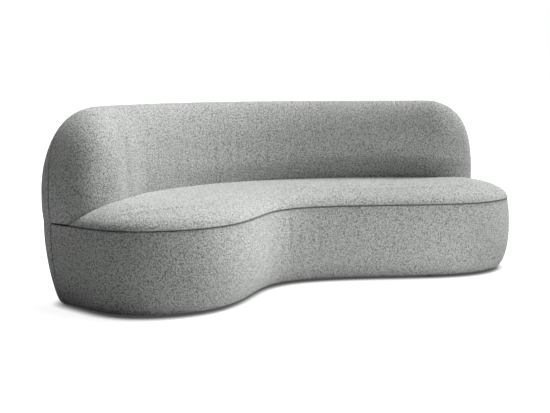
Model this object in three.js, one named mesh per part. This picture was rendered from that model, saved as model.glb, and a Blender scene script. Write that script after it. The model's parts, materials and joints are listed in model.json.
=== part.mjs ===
// Curved sofa with a kidney-shaped plan, in millimetres with +Z up.
// The front faces -Y, the back wraps round the rear (+Y) side, and the origin
// lies on the floor under the middle of the plan.
// A place along the outline is a share of its perimeter, counted anticlockwise
// from the left flank: front bulge, waist, right end, rear, and back to the flank.

import * as THREE from 'three';

// Overall size
const LENGTH = 2300;
const DEPTH = 1087;
const HEIGHT = 800;

// Upholstered forms
const SEAM_HEIGHT = 342;
const CROWN_HEIGHT = 429;
const SEAT_ROUNDING = 250;
const BORDER_BULGE_HEIGHT = 200;
const BORDER_TOP_ROUNDING = 218;
const BORDER_TUCK = 55;
const REAR_WIDEST_HEIGHT = 430;
const REAR_TUCK = 74;
const HEM_HEIGHT = 11;
const HEM_WIDTH = 24;
const HEM_RISE = 2;

// The back
const BACK_THICKNESS = 267;
const CORNER_EXTRA = 60;
const CORNER_REACH = 380;
const OUTER_ROUNDING_WIDTH = 152;
const INNER_LEAN = 8;
const NOSE_END_RADIUS = 180;
const NOSE_DROP_LENGTH = 560;
const RIGHT_END_RADIUS = 200;
const RIGHT_DROP_LENGTH = 290;
const TIP_CUT = 2;
const DIRECTION_WINDOW = 700;

// Cloth, foam and clearances
const COVER_THICKNESS = 2.5;
const FOAM_THICKNESS = 50;
const SEAM_GAP = 0.4;
const GAP = 0.3;
const SEAT_EDGE_GAP = 0.8;
const SEAT_BASE_MARGIN = 75;
const SEAT_BASE_BOTTOM = 310;
const FELT_THICKNESS = 4;
const DUST_COVER_THICKNESS = 1.2;
const BOARD_THICKNESS = 3;
const RIB_CLEARANCE = 0.6;
const OUTER_BOARD_DEPTH = 57;

// Plywood frame
const PLY = 18;
const RING_WIDTH = 90;
const RING_FRONT_INSET = 78;
const RING_REAR_INSET = 118;
const DECK_TOP = 300;
const DECK_FRONT_WIDTH = 80;
const DECK_REAR_MARGIN = 45;
const POST_WIDTH = 60;
const POST_THICKNESS = 30;
const RAIL_HEIGHT = 60;
const RAIL_THICKNESS = 22;
const FLOOR_RAIL_HEIGHT = 40;
const TOP_RAIL_WIDTH = 50;
const RIB_TOP_DROP = 120;

// Springs
const WIRE = 4;
const SPRING_WIDTH = 52;
const SPRING_WAVE = 92;
const SPRING_SEAT = 22;

// Glides and their screws
const GLIDE_RADIUS = 25;
const GLIDE_TOP_RADIUS = 22;
const GLIDE_CHAMFER = 3;
const GLIDE_HEIGHT = 24;
const RECESS_RADIUS = 9;
const RECESS_DEPTH = 14;
const SCREW_HEAD_RADIUS = 6;
const SCREW_HEAD_HEIGHT = 4;
const SCREW_RADIUS = 2.2;
const SCREW_POINT = 4;
const SCREW_HOLE_RADIUS = 2.7;
const SCREW_GRIP = 14;
const RING_BOTTOM = GLIDE_HEIGHT + GAP + DUST_COVER_THICKNESS + GAP;
const DUST_COVER_MARGIN = 12;

// Control points of the outline's closed spline, as shares of length and depth
const outlineShares = [
  [-0.522, 0.005], [-0.478, -0.195], [-0.440, -0.465], [-0.262, -0.530],
  [-0.144, -0.328], [-0.044, -0.090], [0.131, -0.192], [0.330, -0.395],
  [0.491, -0.261], [0.522, 0.070], [0.333, 0.357], [0.048, 0.541],
  [-0.212, 0.454], [-0.409, 0.170],
];

// Places along the outline, as shares of its perimeter
const noseTipShare = 1.0496;
const rightTipShare = 0.5405;
const noseSeamShare = 1.0185;
const rightSeamShare = 0.576;
const noseContactShare = 0.037;
const rightContactShare = 0.572;
const blendShare = 0.055;
const cornerShare = 0.99;
const postShares = [0.075, 0.165, 0.262, 0.365, 0.455, 0.592, 0.760, 0.925];
const glideShares = [0.055, 0.215, 0.400, 0.545, 0.735, 0.905];
const railShares = [[0.120, 0.870], [0.312, 0.795], [0.425, 0.690]];

// Levels and roundings of the back, as shares of its rise above the crown of the seat
const endCrownShare = 0.326;
const outerFoamTopShare = 0.353;
const boardTopShare = 0.434;
const topSeamShare = 0.838;
const outerRoundingShare = 0.9434;
const innerRoundingShare = 0.5526;

// Places across the seat, as shares of the way from its left to its right end
const coverPlaceShares = [0.018, 0.985];
const foamPlaceShares = [0.03, 0.97];
const basePlaceShares = [0.075, 0.93];
const deckHolePlaceShares = [0.11, 0.89];
const springPlaceShares = [0.16, 0.27, 0.38, 0.49, 0.60, 0.71, 0.82];

// Powers of the rounded ends: 2 is an ellipse, more is squarer
const NOSE_POWER = 2.75;
const RIGHT_POWER = 2.3;
const SEAT_POWER = 2;

// How finely the surfaces are divided
const SPLINE_STEPS = 24;
const STATION_COUNT = 336;
const BORDER_STEPS = 40;
const REAR_STEPS = 19;
const END_STEPS = 6;
const RIGHT_BLOCK_STEPS = 2;
const NOSE_BLOCK_STEPS = 3;
const RIB_FIRST_STEP = 1;
const RIB_LAST_STEP = 12;
const RIB_COUNT = 6;
const SEAT_PROFILE_STEPS = 6;
const SIDE_STEPS = 4;
const SIDE_BANDS = 2;
const UPPER_BANDS = 3;
const TOP_BANDS = 3;
const ARC_STEPS = 5;
const REACH_STEPS = 200;
const SPRING_STEPS_PER_WAVE = 6;
const GLIDE_SIDES = 10;
const SCREW_SIDES = 8;
const LEAST_AREA = 0.01;
const LEAST_CLIMB = 0.01;

function material(color, roughness, metalness) {
  return new THREE.MeshStandardMaterial({ color, roughness, metalness });
}

const boucle = material(0xb9bdb9, 0.95, 0);
const foam = material(0xe9dfc2, 0.9, 0);
const plywood = material(0xc9a878, 0.7, 0);
const softwood = material(0xd8bd8c, 0.75, 0);
const hardboard = material(0x8a6a48, 0.8, 0);
const felt = material(0x77777a, 0.95, 0);
const lining = material(0x2b2b2d, 0.9, 0);
const springSteel = material(0x8f9296, 0.35, 1);
const zincSteel = material(0xb4b7ba, 0.3, 1);
const blackPlastic = material(0x1c1c1e, 0.5, 0);

const sofa = new THREE.Group();

function add(name, geometry, look) {
  const mesh = new THREE.Mesh(geometry, look);
  mesh.name = name;
  sofa.add(mesh);
}

function range(count) {
  return Array.from({ length: count }, (_, index) => index);
}

function mix(from, to, amount) {
  return from + (to - from) * amount;
}

function smooth(value) {
  const held = Math.min(Math.max(value, 0), 1);
  return held * held * (3 - 2 * held);
}

function backLevel(share) {
  return mix(CROWN_HEIGHT, HEIGHT, share);
}

const outerRounding = (HEIGHT - CROWN_HEIGHT) * outerRoundingShare;
const innerRounding = (HEIGHT - CROWN_HEIGHT) * innerRoundingShare;
const endCrownStart = backLevel(endCrownShare);
const outerFoamTop = backLevel(outerFoamTopShare);
const boardTop = backLevel(boardTopShare);
const ribTop = HEIGHT - RIB_TOP_DROP;
const topSeamHeight = backLevel(topSeamShare);

// Height of a quarter of a superellipse: 0 at the rim, 1 at the far end
function roundedRise(amount, power) {
  const held = Math.min(Math.max(amount, 0), 1);
  return (1 - (1 - held) ** power) ** (1 / power);
}

// The plan outline, a closed cubic B-spline stretched to the length and depth
function splinePoint(controls, index, t) {
  const weights = [
    (1 - t) ** 3 / 6,
    (3 * t ** 3 - 6 * t ** 2 + 4) / 6,
    (-3 * t ** 3 + 3 * t ** 2 + 3 * t + 1) / 6,
    t ** 3 / 6,
  ];
  const point = new THREE.Vector2();
  weights.forEach((weight, offset) => {
    const control = controls[(index + offset + controls.length - 1) % controls.length];
    point.x += weight * control[0];
    point.y += weight * control[1];
  });
  return point;
}

function rawOutline() {
  return outlineShares.flatMap((_, index) =>
    range(SPLINE_STEPS).map((step) => splinePoint(outlineShares, index, step / SPLINE_STEPS)));
}

function fitToSize(points) {
  const box = new THREE.Box2().setFromPoints(points);
  const middle = box.getCenter(new THREE.Vector2());
  const size = box.getSize(new THREE.Vector2());
  const scale = new THREE.Vector2(LENGTH / size.x, DEPTH / size.y);
  return points.map((point) => point.clone().sub(middle).multiply(scale));
}

// The same closed line again, with its points at even steps of length
function evenlySpaced(points, count) {
  const loop = [...points, points[0]];
  const run = [0];
  loop.slice(1).forEach((point, index) => run.push(run[index] + point.distanceTo(loop[index])));
  const total = run[run.length - 1];
  let at = 0;
  return range(count).map((step) => {
    const goal = (total * step) / count;
    while (run[at + 1] < goal) {
      at += 1;
    }
    const part = (goal - run[at]) / (run[at + 1] - run[at]);
    return loop[at].clone().lerp(loop[at + 1], part);
  });
}

const outline = evenlySpaced(fitToSize(rawOutline()), STATION_COUNT);

function cyclic(list, index) {
  return list[((index % list.length) + list.length) % list.length];
}

const stationStep = outline[0].distanceTo(outline[1]);
const perimeter = stationStep * STATION_COUNT;

function inwardNormal(index) {
  const along = cyclic(outline, index + 1).clone().sub(cyclic(outline, index - 1)).normalize();
  return new THREE.Vector2(-along.y, along.x);
}

// Inward directions evened out along the line, so that deep insets never fold
function evenedDirections() {
  const normals = outline.map((_, index) => inwardNormal(index));
  const reach = Math.round(DIRECTION_WINDOW / stationStep);
  return outline.map((_, index) => {
    const sum = new THREE.Vector2();
    range(2 * reach + 1).forEach((offset) => {
      const weight = reach + 1 - Math.abs(offset - reach);
      sum.addScaledVector(cyclic(normals, index + offset - reach), weight);
    });
    return sum.normalize();
  });
}

const directions = evenedDirections();

// Point on the outline and the inward direction there
function smoothFrame(share) {
  const position = share * STATION_COUNT;
  const index = Math.floor(position);
  const part = position - index;
  const origin = cyclic(outline, index).clone().lerp(cyclic(outline, index + 1), part);
  const inward = cyclic(directions, index).clone().lerp(cyclic(directions, index + 1), part);
  return { origin, inward: inward.normalize() };
}

// Places where the sweeps round the sofa have their corners, from seam to seam
const frontShares = evenShares(noseSeamShare - 1, rightSeamShare, BORDER_STEPS);
const rearShares = evenShares(0, 1, REAR_STEPS).map((even) => {
  const eased = (1 - Math.cos(Math.PI * even)) / 2;
  return mix(rightSeamShare, noseSeamShare, (even + eased) / 2);
});
const stations = [...frontShares, ...rearShares.slice(1)];
const stationPoints = fitToSize(stations.map((share) => smoothFrame(share).origin));
const stationFrames = stations.map((share, index) =>
  ({ origin: stationPoints[index], inward: smoothFrame(share).inward }));

// Everything follows the straight stretches between the stations, so that
// nested pieces stay nested
function frameAt(share) {
  const turns = Math.floor(share - noseSeamShare) + 1;
  const held = share - turns;
  const after = Math.max(stations.findIndex((station) => station >= held), 1);
  const part = (held - stations[after - 1]) / (stations[after] - stations[after - 1]);
  const [start, end] = [stationFrames[after - 1], stationFrames[after]];
  return {
    origin: start.origin.clone().lerp(end.origin, part),
    inward: start.inward.clone().lerp(end.inward, part),
  };
}

function planPoint(frame, inset) {
  return frame.origin.clone().addScaledVector(frame.inward, inset);
}

function distanceAlong(from, to) {
  return Math.abs(to - from) * perimeter;
}

// 0 along the front, 1 along the rear, with a soft change at the two seams
function rearness(share) {
  const frontMiddle = (noseTipShare + rightTipShare - 1) / 2;
  const along = share < frontMiddle ? share + 1 : share;
  const afterRight = smooth((along - rightSeamShare) / (2 * blendShare) + 1 / 2);
  const beforeNose = smooth((noseSeamShare - along) / (2 * blendShare) + 1 / 2);
  return afterRight * beforeNose;
}

// Inset of the base's skin at a height, along the front and along the rear
function frontInset(z) {
  const below = BORDER_BULGE_HEIGHT - z;
  const reach = below > 0 ? BORDER_BULGE_HEIGHT - HEM_HEIGHT : BORDER_TOP_ROUNDING;
  return BORDER_TUCK * (1 - Math.sqrt(1 - (below / reach) ** 2));
}

function rearInset(z) {
  const down = Math.max(REAR_WIDEST_HEIGHT - z, 0) / (REAR_WIDEST_HEIGHT - HEM_HEIGHT);
  return REAR_TUCK * down ** 2;
}

// Above the seam the skin closes on the outline by the rear's own curve
function skinInset(share, z) {
  const held = Math.min(z, SEAM_HEIGHT);
  const inset = mix(frontInset(held), rearInset(held), rearness(share));
  return z > SEAM_HEIGHT ? inset * rearInset(z) / rearInset(SEAM_HEIGHT) : inset;
}

// The hem under the base, then the side up to a height, as [inset, height] points
function sideProfile(share, top) {
  const foot = skinInset(share, HEM_HEIGHT);
  const hem = [[foot + HEM_WIDTH, HEM_HEIGHT + HEM_RISE], [foot + HEM_WIDTH / 2, HEM_HEIGHT]];
  const side = range(SIDE_STEPS + 1).map((step) => {
    const even = step / SIDE_STEPS;
    const rise = 1 - Math.cos((Math.PI / 2) * even);
    const z = mix(HEM_HEIGHT, top, mix(rise, even, 1 / 2));
    return [skinInset(share, z), z];
  });
  return [...hem, ...side];
}

// Thickness of the back, which is fuller at the left rear corner
function backWidth(share) {
  const away = distanceAlong(share, cornerShare) / CORNER_REACH;
  return BACK_THICKNESS + CORNER_EXTRA * (1 - smooth(away));
}

function outerRoundingWidth(share) {
  return OUTER_ROUNDING_WIDTH * (backWidth(share) / BACK_THICKNESS);
}

// How far the back has closed in towards its two rounded ends
function endState(share) {
  const toNose = distanceAlong(share, noseTipShare);
  const toRight = distanceAlong(share, rightTipShare);
  const noseWidth = roundedRise(toNose / NOSE_END_RADIUS, NOSE_POWER);
  const noseHeight = roundedRise(toNose / NOSE_DROP_LENGTH, NOSE_POWER);
  const rightWidth = roundedRise(toRight / RIGHT_END_RADIUS, RIGHT_POWER);
  const rightHeight = roundedRise(toRight / RIGHT_DROP_LENGTH, RIGHT_POWER);
  const top = mix(endCrownStart, HEIGHT, Math.min(noseHeight, rightHeight));
  return { width: Math.min(noseWidth, rightWidth), top };
}

// A point of the back's cross-section is moved in to suit the rounded ends
function closedIn(share, inset, z) {
  const state = endState(share);
  const middle = backWidth(share) / 2;
  const lift = (z - CROWN_HEIGHT) / (HEIGHT - CROWN_HEIGHT);
  const height = lift > 0 ? mix(CROWN_HEIGHT, state.top, lift) : z;
  return [middle + (inset - middle) * state.width, height];
}

// The outer side of the back by climb: below 0 it is the side, above it the arc
function outerPoint(share, climb) {
  const start = HEIGHT - outerRounding;
  if (climb < 0) {
    const z = start + outerRounding * climb;
    return closedIn(share, skinInset(share, z), z);
  }
  const inset = outerRoundingWidth(share) * (1 - Math.cos(climb));
  return closedIn(share, inset, start + outerRounding * Math.sin(climb));
}

function climbAt(z) {
  const above = (z - HEIGHT + outerRounding) / outerRounding;
  return above < 0 ? above : Math.asin(above);
}

function innerPoint(share, angle) {
  const start = outerRoundingWidth(share);
  const reach = backWidth(share) - start - INNER_LEAN;
  const inset = start + reach * Math.sin(angle);
  return closedIn(share, inset, HEIGHT - innerRounding * (1 - Math.cos(angle)));
}

// Climbs of the corner lines up the outer side of the back, and over its edge
const sideClimbs = [
  ...evenShares(climbAt(REAR_WIDEST_HEIGHT), climbAt(outerFoamTop), SIDE_BANDS).slice(0, -1),
  ...evenShares(climbAt(outerFoamTop), climbAt(topSeamHeight), UPPER_BANDS),
];
const topClimbs = evenShares(climbAt(topSeamHeight), Math.PI / 2, TOP_BANDS).slice(1, -1);

// From a height on the outer side over the top and down the inner face
function overTheTop(share, start, foot) {
  const first = climbAt(start);
  const climbs = [...sideClimbs, ...topClimbs].filter((climb) => climb > first + LEAST_CLIMB);
  const outer = [first, ...climbs].map((climb) => outerPoint(share, climb));
  const inner = evenShares(0, Math.PI / 2, ARC_STEPS).map((at) => innerPoint(share, at));
  const face = [CROWN_HEIGHT, foot].map((z) => closedIn(share, backWidth(share), z));
  return [...outer, ...inner, ...face];
}

// Insets of the back's outer and inner faces at a height, away from its ends
function backEdges(share, z) {
  const outer = outerPoint(share, climbAt(z))[0];
  const width = backWidth(share);
  const arcStart = HEIGHT - innerRounding;
  if (z > arcStart) {
    const angle = Math.acos((z - arcStart) / innerRounding);
    return [outer, innerPoint(share, angle)[0]];
  }
  const lean = Math.max(z - CROWN_HEIGHT, 0) / (arcStart - CROWN_HEIGHT);
  return [outer, width - INNER_LEAN * lean];
}

// Offset of an open profile towards the inside of the sofa
function offsetProfile(profile, depth) {
  const last = profile.length - 1;
  return profile.map((point, index) => {
    const before = profile[Math.max(index - 1, 0)];
    const after = profile[Math.min(index + 1, last)];
    const first = new THREE.Vector2(point[0] - before[0], point[1] - before[1]).normalize();
    const second = new THREE.Vector2(after[0] - point[0], after[1] - point[1]).normalize();
    const along = first.add(second).normalize();
    return [point[0] + along.y * depth, point[1] - along.x * depth];
  });
}

// Triangles of a strip whose two sides have matching corners
function ladderTriangles(size) {
  return range(size / 2 - 1).flatMap((rung) => {
    const facing = size - 1 - rung;
    return [[rung, rung + 1, facing], [rung + 1, facing - 1, facing]];
  });
}

// Triangles of a flat end, turned the same way as the profile itself
function capTriangles(profile, firstPoint) {
  const contour = profile.map(([x, y]) => new THREE.Vector2(x, y));
  const turn = Math.sign(THREE.ShapeUtils.area(contour));
  const area = (corners) => THREE.ShapeUtils.area(corners.map((corner) => contour[corner]));
  const clipped = THREE.ShapeUtils.triangulateShape(contour, [])
    .filter((corners) => Math.abs(area(corners)) > LEAST_AREA);
  const keepsAll = clipped.length === profile.length - 2;
  const faces = keepsAll ? clipped : ladderTriangles(profile.length);
  return faces.map((corners) => {
    const same = Math.sign(area(corners)) === turn;
    const [a, b, c] = corners.map((corner) => corner + firstPoint);
    return same ? [a, b, c] : [a, c, b];
  });
}

function turned(triangles) {
  return triangles.map(([a, b, c]) => [a, c, b]);
}

function quad(a, b, c, d) {
  return [[a, b, c], [a, c, d]];
}

function placed(frame, profile) {
  return profile.map(([inset, z]) => {
    const spot = planPoint(frame, inset);
    return new THREE.Vector3(spot.x, spot.y, z);
  });
}

function signedVolume(points, triangles) {
  return triangles.reduce((sum, [a, b, c]) =>
    sum + points[a].dot(points[b].clone().cross(points[c])), 0);
}

function solid(points, triangles) {
  const outward = signedVolume(points, triangles) > 0;
  const faces = outward ? triangles : turned(triangles);
  const geometry = new THREE.BufferGeometry();
  geometry.setFromPoints(points);
  geometry.setIndex(faces.flat());
  geometry.computeVertexNormals();
  return geometry;
}

// Skin one closed profile per frame into a solid. Past the near side the profile
// runs backwards, and its squares are split the other way to suit its neighbours.
function loft(frames, profiles, nearSize) {
  const size = profiles[0].length;
  const points = frames.flatMap((frame, index) => placed(frame, profiles[index]));
  const sides = range(frames.length - 1).flatMap((row) => range(size).flatMap((column) => {
    const beside = (column + 1) % size;
    const start = row * size;
    const next = start + size;
    const corners = [start + column, start + beside, next + beside, next + column];
    return column < nearSize ? quad(...corners) : quad(...corners.slice(1), corners[0]);
  }));
  const end = (frames.length - 1) * size;
  const startCap = turned(capTriangles(profiles[0], 0));
  const endCap = capTriangles(profiles[profiles.length - 1], end);
  return solid(points, [...sides, ...startCap, ...endCap]);
}

// A thin panel: the same faces on both sides, closed round their open edges
function panel(outerPoints, innerPoints, faces) {
  const inside = outerPoints.length;
  const edges = faces.flatMap(([a, b, c]) => [[a, b], [b, c], [c, a]]);
  const known = new Set(edges.map(([from, to]) => `${from} ${to}`));
  const open = edges.filter(([from, to]) => !known.has(`${to} ${from}`));
  const rims = open.flatMap(([from, to]) => quad(to, from, from + inside, to + inside));
  const innerFaces = turned(faces).map((face) => face.map((corner) => corner + inside));
  return solid([...outerPoints, ...innerPoints], [...faces, ...innerFaces, ...rims]);
}

// Carry a profile of a near side and a far side along the outline
function sweep(shares, nearAt, farAt) {
  const profiles = shares.map((share) => [...nearAt(share), ...farAt(share).reverse()]);
  return loft(shares.map(frameAt), profiles, nearAt(shares[0]).length);
}

// A board of even thickness, upright and in line with a frame's direction
function prism(frame, profile, thickness) {
  const aside = new THREE.Vector2(-frame.inward.y, frame.inward.x);
  const frames = [-thickness / 2, thickness / 2].map((shift) => {
    const origin = frame.origin.clone().addScaledVector(aside, shift);
    return { origin, inward: frame.inward };
  });
  return loft(frames, [profile, profile], profile.length);
}

function rectangle(near, far, bottom, top) {
  return [[near, bottom], [far, bottom], [far, top], [near, top]];
}

function evenShares(from, to, steps) {
  return range(steps + 1).map((step) => mix(from, to, step / steps));
}

// Places along the back, closer together at its ends
function tipDistances(seamShare, tipShare) {
  const seamDistance = distanceAlong(seamShare, tipShare);
  return range(END_STEPS).map((step) => mix(TIP_CUT, seamDistance, (step / END_STEPS) ** 2));
}

const rightTipShares = tipDistances(rightSeamShare, rightTipShare)
  .map((distance) => rightTipShare + distance / perimeter);
const noseTipShares = tipDistances(noseSeamShare, noseTipShare)
  .map((distance) => noseTipShare - distance / perimeter)
  .reverse();
const backShares = [...rightTipShares, ...rearShares, ...noseTipShares];

// Near its ends the back's inner surfaces start deeper, so that they stay nested
function nestedShare(share, depth) {
  const toNose = (noseTipShare - share) / (noseTipShare - noseSeamShare);
  const toRight = (share - rightTipShare) / (rightSeamShare - rightTipShare);
  const shift = depth * (Math.max(1 - toRight, 0) - Math.max(1 - toNose, 0));
  return share + shift / perimeter;
}

function backPoints(shares, foot, depth) {
  return shares.flatMap((share) => {
    const profile = offsetProfile(overTheTop(share, foot, foot), depth);
    return placed(frameAt(nestedShare(share, depth)), profile);
  });
}

// The seat lies between the front seam line and the foot of the back
function seamPoint(share, inset) {
  return planPoint(frameAt(share), frontInset(SEAM_HEIGHT) + inset);
}

const seamLine = stations.slice(1).map((share) => seamPoint(share, 0));

function footPoint(share, side) {
  const inset = side > 0 ? backWidth(share) : 0;
  return planPoint(frameAt(share), closedIn(share, inset, CROWN_HEIGHT)[0]);
}

// The foot line of the back, from the nose over both ends to the right rear
function footLine() {
  const noseEnd = noseTipShares.filter((share) => share > noseContactShare + 1);
  const rightEnd = rightTipShares.filter((share) => share < rightContactShare);
  return [
    seamPoint(noseContactShare, 0),
    ...noseEnd.map((share) => footPoint(share, -1)),
    ...backShares.map((share) => footPoint(share, 1)).reverse(),
    ...rightEnd.map((share) => footPoint(share, -1)),
    seamPoint(rightContactShare, 0),
  ];
}

function runLengths(points) {
  const run = [0];
  points.slice(1).forEach((point, index) => run.push(run[index] + point.distanceTo(points[index])));
  return run;
}

// An open line moved to its right by a distance, with its corners kept sharp
function movedRight(points, distance) {
  const last = points.length - 1;
  const sides = points.slice(1).map((point, index) => {
    const along = point.clone().sub(points[index]).normalize();
    return new THREE.Vector2(along.y, -along.x);
  });
  return points.map((point, index) => {
    const before = sides[Math.max(index - 1, 0)];
    const after = sides[Math.min(index, last - 1)];
    const middle = before.clone().add(after).normalize();
    return point.clone().addScaledVector(middle, distance / middle.dot(after));
  });
}

const seatEdge = movedRight(footLine(), SEAT_EDGE_GAP);
const seatEdgeRun = runLengths(seatEdge);

function alongEdge(place) {
  const goal = place * seatEdgeRun[seatEdgeRun.length - 1];
  const after = Math.max(seatEdgeRun.findIndex((value) => value >= goal), 1);
  const part = (goal - seatEdgeRun[after - 1]) / (seatEdgeRun[after] - seatEdgeRun[after - 1]);
  return seatEdge[after - 1].clone().lerp(seatEdge[after], part);
}

// A line across the seat, from the front seam to the foot of the back
function seatLine(place) {
  const origin = seamPoint(mix(noseContactShare, rightContactShare, place), 0);
  const far = alongEdge(place);
  const length = origin.distanceTo(far);
  return { origin, inward: far.sub(origin).normalize(), length };
}

function distanceToSeam(point) {
  return Math.min(...seamLine.map((start, index) => {
    const along = cyclic(seamLine, index + 1).clone().sub(start);
    const part = point.clone().sub(start).dot(along) / along.lengthSq();
    const nearest = start.clone().addScaledVector(along, Math.min(Math.max(part, 0), 1));
    return nearest.distanceTo(point);
  }));
}

function seatHeight(point) {
  const rise = roundedRise(distanceToSeam(point) / SEAT_ROUNDING, SEAT_POWER);
  return mix(SEAM_HEIGHT, CROWN_HEIGHT, rise);
}

// How far along a seat line a distance to the seam is first reached
function reachAt(line, distance) {
  const reaches = evenShares(0, line.length, REACH_STEPS);
  const distances = reaches.map((reach) => distanceToSeam(planPoint(line, reach)));
  const after = distances.findIndex((value) => value >= distance);
  if (after < 0) {
    return line.length;
  }
  const part = (distance - distances[after - 1]) / (distances[after] - distances[after - 1]);
  return mix(reaches[after - 1], reaches[after], part);
}

// Top of the seat along one seat line, with its points closer near the seam
function seatTop(line) {
  const rest = range(SEAT_PROFILE_STEPS).map((step) => {
    const part = ((step + 1) / SEAT_PROFILE_STEPS) ** 2;
    const reach = line.length * part;
    return [reach, seatHeight(planPoint(line, reach))];
  });
  return [[0, SEAM_HEIGHT], ...rest];
}

// Seat lines end at the corners of the seat's edge, so that the seat follows
// the back exactly
function seatLines([from, to]) {
  const total = seatEdgeRun[seatEdgeRun.length - 1];
  const places = seatEdgeRun.map((run) => run / total);
  return places.filter((place) => place > from && place < to).map(seatLine);
}

// Covers: thin sewn panels that meet at the seams
const seamShift = SEAM_GAP / perimeter;
const borderTop = SEAM_HEIGHT - SEAM_GAP;
const panelFoot = SEAM_HEIGHT + SEAM_GAP;

// Places along a length, with a thin joint left open at both of its ends
function jointedShares(shares) {
  const [first, last] = [shares[0], shares[shares.length - 1]];
  return [first + seamShift, ...shares.slice(1, -1), last - seamShift];
}

// The seat's top moved down by a depth, kept above the seam and clear of the back
function underSeatTop(line, depth) {
  const [, ...rest] = offsetProfile(seatTop(line), depth);
  const held = rest.map(([reach, z]) => [Math.min(reach, line.length), Math.max(z, SEAM_HEIGHT)]);
  return [[depth, SEAM_HEIGHT], ...held];
}

function seatCover() {
  const lines = seatLines(coverPlaceShares);
  const profiles = lines.map((line) =>
    [...seatTop(line), ...underSeatTop(line, COVER_THICKNESS).reverse()]);
  return loft(lines, profiles, SEAT_PROFILE_STEPS + 1);
}

function borderCover() {
  const side = (share) => sideProfile(share, borderTop);
  const inside = (share) => offsetProfile(side(share), COVER_THICKNESS);
  return sweep(jointedShares(frontShares), side, inside);
}

// The rear side from the hem up to a height on the back
function rearProfile(share, top) {
  const last = climbAt(top);
  const climbs = sideClimbs.filter((climb) => climb < last - LEAST_CLIMB);
  const above = [...climbs, last].map((climb) => outerPoint(share, climb));
  return [...sideProfile(share, borderTop), ...above];
}

function outerBackCover() {
  const side = (share) => rearProfile(share, topSeamHeight - SEAM_GAP);
  const inside = (share) => offsetProfile(side(share), COVER_THICKNESS);
  return sweep(jointedShares(rearShares), side, inside);
}

// The inner panel covers the whole back but the squares of the outer panel
function innerBackFaces() {
  const profile = overTheTop(rightTipShare, panelFoot, panelFoot);
  const size = profile.length;
  const lastRow = backShares.length - 1;
  const isOuter = (row, column) => {
    const behind = row >= END_STEPS && row < lastRow - END_STEPS;
    return behind && column < sideClimbs.length;
  };
  const skin = range(lastRow).flatMap((row) => range(size - 1).flatMap((column) => {
    const start = row * size + column;
    return isOuter(row, column) ? [] : quad(start, start + 1, start + size + 1, start + size);
  }));
  const tips = [rightTipShares[0], noseTipShares[END_STEPS - 1]]
    .map((share) => overTheTop(share, panelFoot, panelFoot));
  const startCap = turned(capTriangles(tips[0], 0));
  return [...skin, ...startCap, ...capTriangles(tips[1], lastRow * size)];
}

function innerBackCover() {
  const outer = backPoints(backShares, panelFoot, 0);
  const inner = backPoints(backShares, panelFoot, COVER_THICKNESS);
  return panel(outer, inner, innerBackFaces());
}

// Foam: pads under the covers
const foamDepth = COVER_THICKNESS + GAP;
const innerBoardDepth = foamDepth + FOAM_THICKNESS + GAP;
const frameShares = rearShares.slice(RIGHT_BLOCK_STEPS, -NOSE_BLOCK_STEPS);
const frontFrameShares = [
  ...rearShares.slice(-NOSE_BLOCK_STEPS - 1, -1).map((share) => share - 1),
  ...frontShares,
  ...rearShares.slice(1, RIGHT_BLOCK_STEPS + 1),
];
const backPadShares = jointedShares(frameShares);

function ringInset(share) {
  return mix(RING_FRONT_INSET, RING_REAR_INSET, rearness(share));
}

function ringMiddle(share) {
  return ringInset(share) + RING_WIDTH / 2;
}

const ringTop = RING_BOTTOM + PLY;
const deckBottom = DECK_TOP - PLY;
const deckSeat = DECK_TOP + GAP;

// The line of the base boards, from the bottom ring up to the deck, moved outwards
function boardLine(share, outwards) {
  const foot = ringInset(share) - outwards;
  const head = RING_FRONT_INSET - outwards;
  return [[foot, RING_BOTTOM], [foot, ringTop], [head, deckBottom], [head, DECK_TOP]];
}

const boardBack = GAP + BOARD_THICKNESS + GAP;

function borderFoam() {
  const near = (share) => {
    const skin = offsetProfile(sideProfile(share, borderTop), foamDepth);
    skin[skin.length - 1][1] = borderTop;
    return skin;
  };
  return sweep(frontFrameShares, near, (share) => {
    const line = boardLine(share, boardBack);
    return [...line.slice(0, -1), [line[3][0], borderTop]];
  });
}

// Heights of the corner lines of the boards and ribs in the back
const frameHeights = [deckSeat, REAR_WIDEST_HEIGHT, outerFoamTop, boardTop, ribTop];

function outerBoardFace(share, depth, count) {
  return frameHeights.slice(0, count).map((z) => [backEdges(share, z)[0] + depth, z]);
}

function innerBoardFace(share, depth, count) {
  return frameHeights.slice(0, count).map((z) => [backEdges(share, z)[1] - depth, z]);
}

function outerBackFoam() {
  const near = (share) => {
    const skin = offsetProfile(rearProfile(share, outerFoamTop), foamDepth);
    skin[skin.length - 1][1] = outerFoamTop;
    return skin;
  };
  return sweep(backPadShares, near, (share) => [
    ...boardLine(share, boardBack),
    ...outerBoardFace(share, OUTER_BOARD_DEPTH - GAP, 3),
  ]);
}

// The arch over the ribs is laid in two lengths, which meet in the middle
function backFoam(shares) {
  const start = outerFoamTop + GAP;
  const side = (depth) => (share) => {
    const skin = offsetProfile(overTheTop(share, start, deckSeat), depth);
    skin[0][1] = start;
    return skin;
  };
  return sweep(jointedShares(shares), side(foamDepth), side(foamDepth + FOAM_THICKNESS));
}

const archMiddle = Math.floor(frameShares.length / 2);

const noseBlockShares = [...rearShares.slice(-NOSE_BLOCK_STEPS - 1), ...noseTipShares];
const rightBlockShares = [...rightTipShares, ...rearShares.slice(0, RIGHT_BLOCK_STEPS + 1)];

function endBlock(shares) {
  const profiles = shares.map((share) =>
    offsetProfile(overTheTop(share, panelFoot, panelFoot), foamDepth));
  const frames = shares.map((share) => frameAt(nestedShare(share, foamDepth)));
  return loft(frames, profiles, profiles[0].length);
}

// The slab under the shaped seat foam, inside the border's foam
function seatSlab(bottom, top) {
  const lines = seatLines(basePlaceShares);
  const profiles = lines.map((line) =>
    rectangle(reachAt(line, SEAT_BASE_MARGIN), line.length, bottom, top));
  return loft(lines, profiles, 0);
}

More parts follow.
